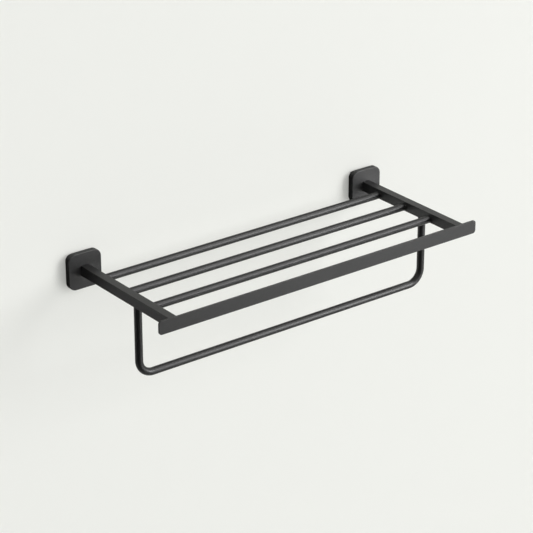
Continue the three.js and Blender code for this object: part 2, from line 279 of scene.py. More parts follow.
# A flat block with rounded corners, from one distance in front of the wall to another
def slab(name, centre, size, corner, back, front, backEdge=0.0, frontEdge=0.0,
         cornerSteps=14, edgeSteps=5):
    levels = []
    for step in range(edgeSteps + 1 if backEdge else 1):
        angle = math.pi / 2 * step / edgeSteps
        levels.append((
            back + backEdge * (1 - math.cos(angle)), backEdge * (1 - math.sin(angle))))
    for step in range(edgeSteps + 1 if frontEdge else 1):
        angle = math.pi / 2 * (1 - step / edgeSteps)
        levels.append((
            front - frontEdge * (1 - math.cos(angle)), frontEdge * (1 - math.sin(angle))))
    rings = []
    for distance, inset in levels:
        outline = roundedOutline(
            size[0] - 2 * inset, size[1] - 2 * inset, corner - inset, cornerSteps)
        rings.append([(centre[0] + x, -distance, centre[1] + z) for x, z in outline])
    return ringStack(name, rings)


turns = {
    "x": Matrix.Rotation(math.pi / 2, 4, "Y"),
    "y": Matrix.Rotation(-math.pi / 2, 4, "X"),
    "-y": Matrix.Rotation(math.pi / 2, 4, "X"),
    "z": Matrix.Identity(4),
}


# A turned piece about an axis through place. The profile lists (radius, distance along the axis)
def turned(name, profile, axis, place, count=48):
    rings = []
    angles = [2 * math.pi * i / count for i in range(count)]
    for radius, along in profile:
        rings.append([
            (radius * math.cos(angle), radius * math.sin(angle), along) for angle in angles])
    piece = ringStack(name, rings)
    piece.data.transform(Matrix.Translation(place) @ turns[axis])
    return piece


def drill(axis, place, radius, start, end, count=48):
    return turned("cutter", [(radius, start), (radius, end)], axis, place, count)


def bakeModifiers(piece):
    graph = bpy.context.evaluated_depsgraph_get()
    fixed = bpy.data.meshes.new_from_object(
        piece.evaluated_get(graph), preserve_all_data_layers=True, depsgraph=graph)
    fixed.name = piece.name
    piece.modifiers.clear()
    piece.data = fixed
    return piece


def combine(piece, others, operation):
    for other in others:
        change = piece.modifiers.new(operation.lower(), "BOOLEAN")
        change.operation = operation
        change.solver = "EXACT"
        change.object = other
    bakeModifiers(piece)
    for other in others:
        bpy.data.objects.remove(other)
    return piece


def carve(piece, cutters):
    return combine(piece, cutters, "DIFFERENCE")


# Edge wear follows the sharpest turn at each vertex, and the shading is smooth up to sharp edges
def finishMesh(piece, material, sharpAngle=32, weldGap=1e-7):
    mesh = piece.data
    work = bmesh.new()
    work.from_mesh(mesh)
    bmesh.ops.remove_doubles(work, verts=work.verts, dist=weldGap)
    worn = []
    for vertex in work.verts:
        worn.append(max((edge.calc_face_angle(0) for edge in vertex.link_edges), default=0))
    work.to_mesh(mesh)
    work.free()
    layer = mesh.attributes.new("edgeWear", "FLOAT", "POINT")
    layer.data.foreach_set("value", [min(1, angle / math.radians(sharpAngle)) for angle in worn])
    mesh.materials.clear()
    mesh.materials.append(material)
    mesh.shade_smooth()
    mesh.set_sharp_from_angle(angle=math.radians(sharpAngle))
    weigh = piece.modifiers.new("weigh", "WEIGHTED_NORMAL")
    weigh.keep_sharp = True
    return bakeModifiers(piece)


def settle(piece, slot, *replaced):
    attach(piece, "root")
    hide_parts(*replaced)


# A round bar swept along its centre line, with filleted bends and a girth at each point
def makeBarTree():
    tree = bpy.data.node_groups.new("roundBar", "GeometryNodeTree")
    tree.is_modifier = True
    for label, kind in (
            ("Centre line", "NodeSocketGeometry"), ("Sides", "NodeSocketInt"),
            ("Bend steps", "NodeSocketInt"), ("Finish", "NodeSocketMaterial")):
        tree.interface.new_socket(name=label, in_out="INPUT", socket_type=kind)
    tree.interface.new_socket(name="Bar", in_out="OUTPUT", socket_type="NodeSocketGeometry")
    given, result = tree.nodes.new("NodeGroupInput"), tree.nodes.new("NodeGroupOutput")
    link = tree.links.new
    line = addNode(tree, "GeometryNodeMeshToCurve")
    bend = addNode(tree, "GeometryNodeInputNamedAttribute", {"data_type": "FLOAT"}, Name="bend")
    fillet = addNode(tree, "GeometryNodeFilletCurve", {"mode": "POLY"})
    girth = addNode(tree, "GeometryNodeInputNamedAttribute", {"data_type": "FLOAT"}, Name="girth")
    section = addNode(tree, "GeometryNodeCurvePrimitiveCircle", {"mode": "RADIUS"}, Radius=1)
    skin = addNode(tree, "GeometryNodeCurveToMesh")
    skin.inputs["Fill Caps"].default_value = True
    smooth = addNode(tree, "GeometryNodeSetShadeSmooth")
    real = addNode(tree, "GeometryNodeRealizeInstances")
    coat = addNode(tree, "GeometryNodeSetMaterial")
    link(given.outputs["Centre line"], line.inputs["Mesh"])
    link(line.outputs["Curve"], fillet.inputs["Curve"])
    link(given.outputs["Bend steps"], fillet.inputs["Count"])
    link(bend.outputs["Attribute"], fillet.inputs["Radius"])
    link(fillet.outputs["Curve"], skin.inputs["Curve"])
    link(given.outputs["Sides"], section.inputs["Resolution"])
    link(section.outputs["Curve"], skin.inputs["Profile Curve"])
    link(girth.outputs["Attribute"], skin.inputs["Scale"])
    link(skin.outputs["Mesh"], smooth.inputs["Geometry"])
    link(smooth.outputs["Geometry"], real.inputs["Geometry"])
    link(real.outputs["Geometry"], coat.inputs["Geometry"])
    link(given.outputs["Finish"], coat.inputs["Material"])
    link(coat.outputs["Geometry"], result.inputs["Bar"])
    return tree


def growTree(piece, tree, values):
    grow = piece.modifiers.new(tree.name, "NODES")
    grow.node_group = tree
    for item in tree.interface.items_tree:
        if item.in_out == "INPUT" and item.name in values:
            grow[item.identifier] = values[item.name]
    return bakeModifiers(piece)


bars = {
    "sides": 96,
    "bendSteps": 40,
    "bendRadius": 0.024,      # of the rail's centre line
    "spigotRadius": 0.004,
    "spigotChamfer": 0.0006,
    "paintFillet": 0.0004,    # paint gathered where a bar meets an arm
    "filletSteps": 5,
    "stepGap": 0.00001,       # between the two stations of a square step
}
barTree = makeBarTree()


# Stations of one bar end, from the spigot's tip to the plain bar: (distance past the tip, radius)
def barEnd(spigotLength, radius):
    fillet, chamfer = bars["paintFillet"], bars["spigotChamfer"]
    stations = [
        (0, bars["spigotRadius"] - chamfer),
        (chamfer, bars["spigotRadius"]),
        (spigotLength - bars["stepGap"], bars["spigotRadius"])]
    for step in range(bars["filletSteps"] + 1):
        angle = math.pi / 2 * step / bars["filletSteps"]
        stations.append((
            spigotLength + fillet * (1 - math.cos(angle)),
            radius + fillet * (1 - math.sin(angle))))
    return stations


def roundBar(name, start, corners, end, spigotLength, radius):
    path = [Vector(point) for point in (start, *corners, end)]
    points, girths = [], []
    for tip, towards in ((path[0], path[1]), (path[-1], path[-2])):
        direction = (towards - tip).normalized()
        stations = [
            (tip + direction * along, girth) for along, girth in barEnd(spigotLength, radius)]
        if tip is path[-1]:
            for corner in corners:
                points.append(Vector(corner))
                girths.append(radius)
            stations.reverse()
        points += [point for point, girth in stations]
        girths += [girth for point, girth in stations]
    bends = [bars["bendRadius"] if tuple(point) in [tuple(Vector(c)) for c in corners] else 0
             for point in points]
    mesh = meshFrom(name, points, (), [(i, i + 1) for i in range(len(points) - 1)])
    for label, values in (("girth", girths), ("bend", bends)):
        mesh.attributes.new(label, "FLOAT", "POINT").data.foreach_set("value", values)
    piece = growTree(newPiece(name, mesh), barTree, {
        "Sides": bars["sides"], "Bend steps": bars["bendSteps"],
        "Finish": paint["blackPowderCoat"]})
    return finishMesh(piece, paint["blackPowderCoat"])


armBoxes = {side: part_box(side + "_arm") for side in sides}
innerFaces = armBoxes["left"][1].x, armBoxes["right"][0].x
for rod in ("rear", "middle", "front"):
    low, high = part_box(rod + "_rod")
    centre = (low + high) / 2
    settle(roundBar(
        rod + "ShelfRod", (low.x, centre.y, centre.z), (), (high.x, centre.y, centre.z),
        innerFaces[0] - low.x, (high.z - low.z) / 2), "black_paint", rod + "_rod")

low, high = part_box("towel_rail")
railRadius = (high.y - low.y) / 2
railLevel = low.z + railRadius
railY = (low.y + high.y) / 2
legs = low.x + railRadius, high.x - railRadius
settle(roundBar(
    "bentTowelRail", (legs[0], railY, high.z),
    [(legs[0], railY, railLevel), (legs[1], railY, railLevel)], (legs[1], railY, high.z),
    high.z - armBoxes["left"][0].z, railRadius), "black_paint", "towel_rail")
print("rods and towel rail made")

# Arms, drilled for the rods, the rail, the stud, the bolt and the set screw
arms = {
    "edge": 0.0006,
    "endEdge": 0.00025,
    "boreGap": 0.0003,
    "rodBore": 0.0043, "railBore": 0.0043, "studBore": 0.0033, "boltBore": 0.0033,
    "boltReach": 0.0163, "screwBore": 0.0018,
    "past": 0.002,        # how far a cutter runs past the surface
}
for side, way in sides.items():
    low, high = armBoxes[side]
    centreX = (low.x + high.x) / 2
    inner = high.x if way < 0 else low.x
    piece = slab(side + "SquareArm", (centreX, 0), (high.x - low.x, high.z - low.z), arms["edge"],
                 -high.y, -low.y, arms["endEdge"], arms["endEdge"], cornerSteps=6, edgeSteps=3)
    past = arms["past"]
    cutters = []
    for rod in ("rear", "middle", "front"):
        rodLow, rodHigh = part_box(rod + "_rod")
        tip = (rodLow.x if way < 0 else rodHigh.x) + way * arms["boreGap"]
        ends = sorted((inner - way * past, tip))
        cutters.append(drill(
            "x", (0, (rodLow.y + rodHigh.y) / 2, (rodLow.z + rodHigh.z) / 2),
            arms["rodBore"], *ends))
    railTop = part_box("towel_rail")[1].z
    studLow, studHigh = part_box(side + "_strip_stud")
    screwLow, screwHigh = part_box(side + "_strip_set_screw")
    cutters += [
        drill("z", (centreX, railY, 0), arms["railBore"], low.z - past, railTop + arms["boreGap"]),
        drill("y", (centreX, 0, 0), arms["studBore"], low.y - past, studHigh.y + arms["boreGap"]),
        drill("y", (centreX, 0, 0), arms["boltBore"], high.y - arms["boltReach"], high.y + past),
        drill("z", (centreX, (screwLow.y + screwHigh.y) / 2, 0), arms["screwBore"],
              low.z - past, studLow.z),
    ]
    carve(piece, cutters)
    settle(finishMesh(piece, paint["blackPowderCoat"]), "black_paint", side + "_arm")
print("arms made")

# Front strip, with a seat in its back for each stud
strip = {"corner": 0.005, "edge": 0.0004, "seatRadius": 0.0033, "seatGap": 0.0003}
low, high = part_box("front_strip")
piece = slab("frontStrip", (0, (low.z + high.z) / 2), (high.x - low.x, high.z - low.z),
             strip["corner"], -high.y, -low.y, strip["edge"], strip["edge"], cornerSteps=20)
cutters = []
for side in sides:
    studLow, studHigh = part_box(side + "_strip_stud")
    cutters.append(drill(
        "y", ((studLow.x + studHigh.x) / 2, 0, 0), strip["seatRadius"],
        studLow.y - strip["seatGap"], high.y + arms["past"]))
carve(piece, cutters)
settle(finishMesh(piece, paint["blackPowderCoat"]), "black_paint", "front_strip")
print("front strip made")

# Hollow flanges, each over its own wall base
flange = {
    "corner": 0.013, "frontEdge": 0.0012, "backEdge": 0.0005,
    "seam": 0.0003,         # round the arm
    "sideWall": 0.0072, "faceWall": 0.0034, "cavityCorner": 0.0063,
    "boltHole": 0.0033, "screwHole": 0.0018,
}
base = {
    "corner": 0.0095, "frontEdge": 0.0006, "thickness": 0.0055,
    "bossGap": 0.0003, "bossCorner": 0.006,
    "pocketRadius": 0.007, "pocketGap": 0.0006, "detentGap": 0.0003, "detentRadius": 0.0018,
    "screwHead": 0.004, "screwShank": 0.0021, "screwRim": 0.0005, "screwGap": 0.0003,
}
for side, way in sides.items():
    low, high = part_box(side + "_flange")
    armLow, armHigh = armBoxes[side]
    centreX = (low.x + high.x) / 2
    width = high.x - low.x
    back, front = -high.y, -low.y
    past = arms["past"]
    screwLow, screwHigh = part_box(side + "_flange_set_screw")
    screwY = (screwLow.y + screwHigh.y) / 2
    cavity = width - 2 * flange["sideWall"]
    socket = [
        armHigh.x - armLow.x + 2 * flange["seam"], armHigh.z - armLow.z + 2 * flange["seam"]]
    piece = slab(side + "Flange", (centreX, 0), (width, width), flange["corner"], back, front,
                 flange["backEdge"], flange["frontEdge"], cornerSteps=24, edgeSteps=6)
    carve(piece, [
        slab("cutter", (centreX, 0), (cavity, cavity), flange["cavityCorner"],
             back - past, front - flange["faceWall"]),
        slab("cutter", (centreX, 0), socket, arms["edge"] + flange["seam"],
             -armHigh.y, front + past, cornerSteps=6),
        drill("y", (centreX, 0, 0), flange["boltHole"], -front, past - front + flange["faceWall"]),
        drill("z", (centreX, screwY, 0), flange["screwHole"], low.z - past, -cavity / 2 + past),
    ])
    settle(finishMesh(piece, paint["blackCastCoat"]), "black_paint", side + "_flange")

    low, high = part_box(side + "_wall_base")
    bossFront = -low.y
    bossSize = cavity - 2 * base["bossGap"]
    piece = slab(side + "WallBase", (centreX, 0), (high.x - low.x, high.z - low.z), base["corner"],
                 -high.y, base["thickness"], 0, base["frontEdge"], cornerSteps=20)
    combine(piece, [
        slab("boss", (centreX, 0), (bossSize, bossSize), base["bossCorner"],
             base["thickness"] / 2, bossFront)], "UNION")
    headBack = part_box(side + "_arm_bolt")[1].y
    cutters = [
        drill("y", (centreX, 0, 0), base["pocketRadius"], -bossFront - past,
              headBack + base["pocketGap"]),
        drill("z", (centreX, screwY, 0), base["detentRadius"], -bossSize / 2 - past,
              screwHigh.z + base["detentGap"]),
    ]
    for level in ("upper", "lower"):
        fixLow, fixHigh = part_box(side + "_" + level + "_wall_screw")
        headRadius = base["screwHead"] + base["screwGap"]
        shankRadius = base["screwShank"] + base["screwGap"]
        rim = -bossFront + base["screwRim"]
        cutters.append(turned("cutter", [
            (headRadius, -bossFront - past), (headRadius, rim),
            (shankRadius, rim + headRadius - shankRadius), (shankRadius, past),
        ], "y", (centreX, 0, (fixLow.z + fixHigh.z) / 2)))
    carve(piece, cutters)
    # The bases take the darker copy of the black paint, as painted shade for the gap behind the
    # flanges
    settle(finishMesh(piece, paint["paintedShadeBlackCoat"]), "black_paint", side + "_wall_base")
print("flanges and wall bases made")

# A turned body from an outline of stations along Z. Where a station's share is above zero its skin
# is cut by grooves, which are rings at a twist of 0 and a screw thread at a twist of 1
def makeTurnedTree():
    tree = bpy.data.node_groups.new("turnedBody", "GeometryNodeTree")
    tree.is_modifier = True
    for label, kind in (
            ("Outline", "NodeSocketGeometry"), ("Sides", "NodeSocketInt"),
            ("Pitch", "NodeSocketFloat"), ("Depth", "NodeSocketFloat"),
            ("Twist", "NodeSocketFloat"), ("Sawtooth", "NodeSocketFloat"),
            ("Finish", "NodeSocketMaterial")):
        tree.interface.new_socket(name=label, in_out="INPUT", socket_type=kind)
    tree.interface.new_socket(name="Body", in_out="OUTPUT", socket_type="NodeSocketGeometry")
    given, result = tree.nodes.new("NodeGroupInput"), tree.nodes.new("NodeGroupOutput")
    link = tree.links.new

    def calculate(operation, *values):
        node = addNode(tree, "ShaderNodeMath", {"operation": operation})
        for index, value in enumerate(values):
            if isinstance(value, bpy.types.NodeSocket):
                link(value, node.inputs[index])
            else:
                node.inputs[index].default_value = value
        return node.outputs[0]

    line = addNode(tree, "GeometryNodeMeshToCurve")
    girth = addNode(tree, "GeometryNodeInputNamedAttribute", {"data_type": "FLOAT"}, Name="girth")
    share = addNode(tree, "GeometryNodeInputNamedAttribute", {"data_type": "FLOAT"}, Name="share")
    section = addNode(tree, "GeometryNodeCurvePrimitiveCircle", {"mode": "RADIUS"}, Radius=1)
    skin = addNode(tree, "GeometryNodeCurveToMesh")
    skin.inputs["Fill Caps"].default_value = True
    link(given.outputs["Outline"], line.inputs["Mesh"])
    link(line.outputs["Curve"], skin.inputs["Curve"])
    link(given.outputs["Sides"], section.inputs["Resolution"])
    link(section.outputs["Curve"], skin.inputs["Profile Curve"])
    link(girth.outputs["Attribute"], skin.inputs["Scale"])

    place = addNode(tree, "GeometryNodeInputPosition")
    apart = addNode(tree, "ShaderNodeSeparateXYZ")
    link(place.outputs["Position"], apart.inputs[0])
    across, up, along = apart.outputs
    turn = calculate("DIVIDE", calculate("ARCTAN2", up, across), 2 * math.pi)
    phase = calculate("FRACT", calculate(
        "ADD", calculate("DIVIDE", along, given.outputs["Pitch"]),
        calculate("MULTIPLY", turn, given.outputs["Twist"])))
    peak = calculate("ABSOLUTE", calculate("SUBTRACT", calculate("MULTIPLY", phase, 2), 1))
    fall = addNode(tree, "ShaderNodeMix", {"data_type": "FLOAT"})
    link(given.outputs["Sawtooth"], fall.inputs[0])
    link(peak, fall.inputs[2])
    link(phase, fall.inputs[3])
    cut = calculate("MULTIPLY", calculate("MULTIPLY", fall.outputs[0], given.outputs["Depth"]),
                    share.outputs["Attribute"])
    flat = addNode(tree, "ShaderNodeCombineXYZ")
    link(across, flat.inputs[0])
    link(up, flat.inputs[1])
    outward = addNode(tree, "ShaderNodeVectorMath", {"operation": "NORMALIZE"})
    inward = addNode(tree, "ShaderNodeVectorMath", {"operation": "SCALE"})
    link(flat.outputs[0], outward.inputs[0])
    link(outward.outputs[0], inward.inputs[0])
    link(calculate("MULTIPLY", cut, -1), inward.inputs["Scale"])
    shape = addNode(tree, "GeometryNodeSetPosition")
    real = addNode(tree, "GeometryNodeRealizeInstances")
    coat = addNode(tree, "GeometryNodeSetMaterial")
    link(skin.outputs["Mesh"], shape.inputs["Geometry"])
    link(inward.outputs[0], shape.inputs["Offset"])
    link(shape.outputs["Geometry"], real.inputs["Geometry"])
    link(real.outputs["Geometry"], coat.inputs["Geometry"])
    link(given.outputs["Finish"], coat.inputs["Material"])
    link(coat.outputs["Geometry"], result.inputs["Body"])
    return tree


turnedTree = makeTurnedTree()
grooveSteps = 8      # stations for each turn of a thread or each rib


# Outline parts are (distance along, radius, share); a part with a share gets fine stations
def grooved(name, outline, finish, sides=32, pitch=0.001, depth=0.0, twist=1.0, sawtooth=0.0):
    stations = [outline[0]]
    for (alongA, girthA, shareA), (alongB, girthB, shareB) in zip(outline, outline[1:]):
        steps = 1
        if depth and max(shareA, shareB) > 0:
            steps = max(1, round((alongB - alongA) / pitch * grooveSteps))
        for step in range(1, steps + 1):
            t = step / steps
            stations.append((alongA + (alongB - alongA) * t, girthA + (girthB - girthA) * t,
                             shareA + (shareB - shareA) * t))
    mesh = meshFrom(name, [(0, 0, along) for along, girth, share in stations], (),
                    [(i, i + 1) for i in range(len(stations) - 1)])
    for index, label in ((1, "girth"), (2, "share")):
        values = [station[index] for station in stations]
        mesh.attributes.new(label, "FLOAT", "POINT").data.foreach_set("value", values)
    piece = growTree(newPiece(name, mesh), turnedTree, {
        "Sides": sides, "Pitch": pitch, "Depth": depth, "Twist": twist, "Sawtooth": sawtooth,
        "Finish": paint[finish]})
    pointOutwards(piece.data)
    return piece


# Moves a piece from its own axis, Z, to the axis through place
def stand(piece, axis, place):
    piece.data.transform(Matrix.Translation(place) @ turns[axis])
    return piece


fastener = {
    "step": 0.00001,          # between the two stations of a square step
    "wallHead": 0.004, "wallHeadRim": 0.0005, "wallShank": 0.0021, "wallNeck": 0.0017,
    "wallPoint": 0.006, "wallPitch": 0.0018, "wallThread": 0.0006, "wallEdge": 0.0003,
    "wallRunOut": 0.15,       # share of the thread's depth left near the tip
    "crossLong": 0.0044, "crossWide": 0.0012, "crossDeep": 0.0014,
    "boltHead": 0.005, "boltHeadHigh": 0.0032, "boltShank": 0.003, "boltChamfer": 0.0006,
    "boltPitch": 0.001, "boltThread": 0.00055, "boltSocket": 0.0023, "boltSocketDeep": 0.0018,
    "boltPlain": 2,           # turns without thread below the head
    "boltRunOut": 0.2,
    "setShank": 0.0015, "setChamfer": 0.0003, "setPitch": 0.0005, "setThread": 0.00025,
    "setPoint": 0.0006, "setTip": 0.00072,
    "setSocket": 0.00087, "setSocketDeep": 0.0014,
    "stud": 0.003, "studChamfer": 0.0005, "studGroove": 0.0002, "studGrooveWide": 0.0016,
    "plug": 0.004, "plugBore": 0.0024, "plugRib": 0.0055, "plugRibDeep": 0.0005,
    "plugSlot": 0.0012, "plugSlotShare": 0.6, "plugLead": 0.0006,
    "washer": 0.0048, "washerBore": 0.0033, "washerGap": 0.0009,
    "screwSides": 32, "boltSides": 40, "plugSides": 40, "studSides": 48, "washerSides": 64,
    "hexagon": 6,
}


def boxCutter(low, high):
    vertices = [
        (x, y, z)
        for x in (low[0], high[0]) for y in (low[1], high[1]) for z in (low[2], high[2])]
    mesh = meshFrom("cutter", vertices, [
        (0, 1, 3, 2), (4, 6, 7, 5), (0, 4, 5, 1), (2, 3, 7, 6), (0, 2, 6, 4), (1, 5, 7, 3)])
    pointOutwards(mesh)
    return newPiece("cutter", mesh)


def wallScrew(name, length):
    f = fastener
    cone = f["wallHeadRim"] + f["wallHead"] - f["wallNeck"]
    piece = grooved(name, [
        (0, f["wallHead"] - f["wallEdge"], 0), (f["wallEdge"], f["wallHead"], 0),
        (f["wallHeadRim"], f["wallHead"], 0), (cone, f["wallNeck"], 0),
        (cone + f["wallPoint"], f["wallNeck"], 0),
        (cone + f["wallPoint"] + f["wallPitch"], f["wallShank"], 1),
        (length - f["wallPoint"], f["wallShank"], 1),
        (length - f["wallEdge"], f["wallEdge"], f["wallRunOut"]), (length, f["step"], 0),
    ], "zincPlate", f["screwSides"], f["wallPitch"], f["wallThread"])
    wide, long = f["crossWide"] / 2, f["crossLong"] / 2
    return carve(piece, [
        boxCutter((-wide, -long, -f["crossDeep"]), (wide, long, f["crossDeep"])),
        boxCutter((-long, -wide, -f["crossDeep"]), (long, wide, f["crossDeep"]))])


def setScrew(name, length):
    f = fastener
    piece = grooved(name, [
        (0, f["setShank"] - f["setChamfer"], 0), (f["setChamfer"], f["setShank"], 1),
        (length - f["setPoint"], f["setShank"], 1),
        (length - f["step"], f["setShank"] - f["setPoint"], 0),
        (length, f["setTip"], 0),
    ], "blackOxide", f["screwSides"], f["setPitch"], f["setThread"])
    return carve(piece, [drill(
        "z", (0, 0, 0), f["setSocket"], -f["setSocketDeep"], f["setSocketDeep"], f["hexagon"])])


# The head's socket is at distance zero, and the shank's tip is at the far end
def armBolt(name, length):
    f = fastener
    head, neck = f["boltHeadHigh"], f["boltPitch"] * f["boltPlain"]
    piece = grooved(name, [
        (0, f["boltHead"] - f["boltChamfer"], 0), (f["boltChamfer"] / 2, f["boltHead"], 0),
        (head - f["step"], f["boltHead"], 0), (head, f["boltShank"], 0),
        (head + neck, f["boltShank"], 0),
        (head + neck + f["boltPitch"], f["boltShank"], 1),
        (length - f["boltChamfer"], f["boltShank"], 1),
        (length, f["boltShank"] - f["boltChamfer"], f["boltRunOut"]),
    ], "blackOxide", f["boltSides"], f["boltPitch"], f["boltThread"])
    return carve(piece, [drill(
        "z", (0, 0, 0), f["boltSocket"], -f["boltSocketDeep"], f["boltSocketDeep"],
        f["hexagon"])])


def stripStud(name, length, grooveAt):
    f = fastener
    half = f["studGrooveWide"] / 2
    return grooved(name, [
        (0, f["stud"] - f["studChamfer"], 0), (f["studChamfer"], f["stud"], 0),
        (grooveAt - half, f["stud"], 0), (grooveAt, f["stud"] - f["studGroove"], 0),
        (grooveAt + half, f["stud"], 0),
        (length - f["studChamfer"], f["stud"], 0), (length, f["stud"] - f["studChamfer"], 0),
    ], "zincPlate", f["studSides"])


def wallPlug(name, length):
    f = fastener
    piece = grooved(name, [
        (0, f["plug"], 0), (f["plugRib"] / 2, f["plug"], 0),
        (f["plugRib"] / 2 + f["step"], f["plug"], 1), (length - f["plugLead"], f["plug"], 1),
        (length, f["plug"] - f["plugLead"], 1),
    ], "greyNylon", f["plugSides"], f["plugRib"], f["plugRibDeep"], twist=0, sawtooth=1)
    slot = f["plugSlot"] / 2
    past = arms["past"]
    slotFrom = length * (1 - f["plugSlotShare"])
    return carve(piece, [
        drill("z", (0, 0, 0), f["plugBore"], -past, length + past, f["plugSides"]),
        boxCutter((-slot, -f["plug"] - past, slotFrom), (slot, f["plug"] + past, length + past))])


def springWasher(name, thickness):
    f = fastener
    piece = grooved(name, [(0, f["washer"], 0), (thickness, f["washer"], 0)],
                    "zincPlate", f["washerSides"])
    gap, past = f["washerGap"] / 2, arms["past"]
    return carve(piece, [
        drill("z", (0, 0, 0), f["washerBore"], -past, thickness + past, f["washerSides"]),
        boxCutter((-gap, 0, -past), (gap, f["washer"] + past, thickness + past))])


# Each goes where the frame has it. The Y axis runs into the wall, and Z upwards
for side in sides:
    for label, make, axis, finish, slot in (
            ("arm_bolt", armBolt, "-y", "blackOxide", "black_steel"),
            ("spring_washer", springWasher, "y", "zincPlate", "zinc"),
            ("flange_set_screw", setScrew, "z", "blackOxide", "black_steel"),
            ("strip_set_screw", setScrew, "z", "blackOxide", "black_steel"),
            ("strip_stud", stripStud, "y", "zincPlate", "zinc"),
            ("upper_wall_screw", wallScrew, "y", "zincPlate", "zinc"),
            ("lower_wall_screw", wallScrew, "y", "zincPlate", "zinc"),
            ("upper_wall_plug", wallPlug, "y", "greyNylon", "plug_plastic"),
            ("lower_wall_plug", wallPlug, "y", "greyNylon", "plug_plastic")):
        node = side + "_" + label
        low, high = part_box(node)
        middle = (low + high) / 2
        along = "xyz".index(axis[-1])
        words = label.split("_")
        name = side + "".join(word.capitalize() for word in words)
        extra = ()
        if make is stripStud:
            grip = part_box(side + "_strip_set_screw")
            extra = ((grip[0].y + grip[1].y) / 2 - low.y,)
        piece = make(name, high[along] - low[along], *extra)
        middle[along] = high[along] if axis[0] == "-" else low[along]
        stand(piece, axis, middle)
        settle(finishMesh(piece, paint[finish]), slot, node)
print("fasteners made")

# Wall and floor
stage = {
    "wallGap": 0.0004,        # keeps the wall clear of the bases' back faces
    "wallHalfWidth": 6, "wallTop": 2.5, "floorLevel": -1.75, "floorReach": 9,
    "holeInset": 0.001,       # the bases stand over openings, so that their backs show from behind
    "paintedShadeSamples": 12,
    "wallColour": (0.9, 0.908, 0.868),
    "wallPaint": (0.8, 0.808, 0.773),         # how much of the lamps' light it throws back
    "wallOwn": 0.68,          # share of the wall's colour that glows, with painted shade near pieces
    "wallPaintedShadeReach": 0.05,      # how near a piece must be for the painted shade
    "wallPaintedShadeFrom": (0.9, -0.34, 0.28),    # the side of the light, from which the painted shade is cast
    "wallPaintedShadeSpan": (0.34, 0.8),           # open share of that side where the painted shade is darkest, and where it ends
    "wallPaintedShadeLeast": 0.5,                  # painted shade's level at the darkest; gloss sees it go down to black
    "floorColour": (0.8, 0.8, 0.78),
    # The floor's glowing share gets painted shade near pieces too, with the AO turned straight up
    "floorOwn": 0.2, "floorPaintedShadeReach": 0.3, "floorPaintedShadeFrom": (0, 0, 1),
}


# One where a ray comes from the camera, off gloss or through glass
def seenRay(tree):
    lightPath = addNode(tree, "ShaderNodeLightPath")
    direct = addNode(tree, "ShaderNodeMath", {"operation": "MAXIMUM"})
    seen = addNode(tree, "ShaderNodeMath", {"operation": "MAXIMUM"})
    tree.links.new(lightPath.outputs["Is Camera Ray"], direct.inputs[0])
    tree.links.new(lightPath.outputs["Is Glossy Ray"], direct.inputs[1])
    tree.links.new(direct.outputs[0], seen.inputs[0])
    tree.links.new(lightPath.outputs["Is Transmission Ray"], seen.inputs[1])
    return seen.outputs[0]


# A pale surface that is clear from behind. Part of its colour shows the light that falls on it. The
# rest glows for the camera and for gloss, with painted shade where a piece is close, as if cast
# from a given side. In gloss that painted shade goes down to black
def makeStageFinish(name, paintColour, ownColour, own, paintedShadeReach, paintedShadeFrom,
                    span=(0, 1), least=0.0):
    material, tree, output = newMaterial(name)
    link = tree.links.new
    skin = addNode(tree, "ShaderNodeBsdfDiffuse")
    skin.inputs["Color"].default_value = (*paintColour, 1)
    plain = addNode(tree, "ShaderNodeEmission")
    # AO paints the shade onto the glowing part, cast from the given side
    near = addNode(tree, "ShaderNodeAmbientOcclusion", {"samples": stage["paintedShadeSamples"]},
                   Distance=paintedShadeReach)
    towards = addNode(tree, "ShaderNodeCombineXYZ")
    for socket, value in zip(towards.inputs, Vector(paintedShadeFrom).normalized()):
        socket.default_value = value
    link(towards.outputs[0], near.inputs["Normal"])
    lift = addNode(tree, "ShaderNodeMapRange")
    lift.inputs["From Min"].default_value, lift.inputs["From Max"].default_value = span
    # Gloss sees the painted shade go down to black, a painted darkening of the reflections
    lightPath = addNode(tree, "ShaderNodeLightPath")
    darkest = addNode(tree, "ShaderNodeMath", {"operation": "MULTIPLY_ADD"})
    darkest.inputs[1].default_value, darkest.inputs[2].default_value = -least, least
    link(lightPath.outputs["Is Glossy Ray"], darkest.inputs[0])
    link(darkest.outputs[0], lift.inputs["To Min"])
    level = addNode(tree, "ShaderNodeMix", {"data_type": "RGBA", "blend_type": "MULTIPLY"})
    level.inputs[0].default_value = 1
    level.inputs[6].default_value = (*ownColour, 1)
    link(near.outputs["AO"], lift.inputs["Value"])
    link(lift.outputs["Result"], level.inputs[7])
    link(level.outputs[2], plain.inputs["Color"])
    amount = addNode(tree, "ShaderNodeMath", {"operation": "MULTIPLY"})
    amount.inputs[1].default_value = own
    shade = addNode(tree, "ShaderNodeMixShader")
    clear = addNode(tree, "ShaderNodeBsdfTransparent")
    facing = addNode(tree, "ShaderNodeNewGeometry")
    mix = addNode(tree, "ShaderNodeMixShader")
    link(seenRay(tree), amount.inputs[0])
    link(amount.outputs[0], shade.inputs[0])
    link(skin.outputs[0], shade.inputs[1])
    link(plain.outputs[0], shade.inputs[2])
    link(facing.outputs["Backfacing"], mix.inputs[0])
    link(shade.outputs[0], mix.inputs[1])
    link(clear.outputs[0], mix.inputs[2])
    link(mix.outputs[0], output.inputs["Surface"])
    return material


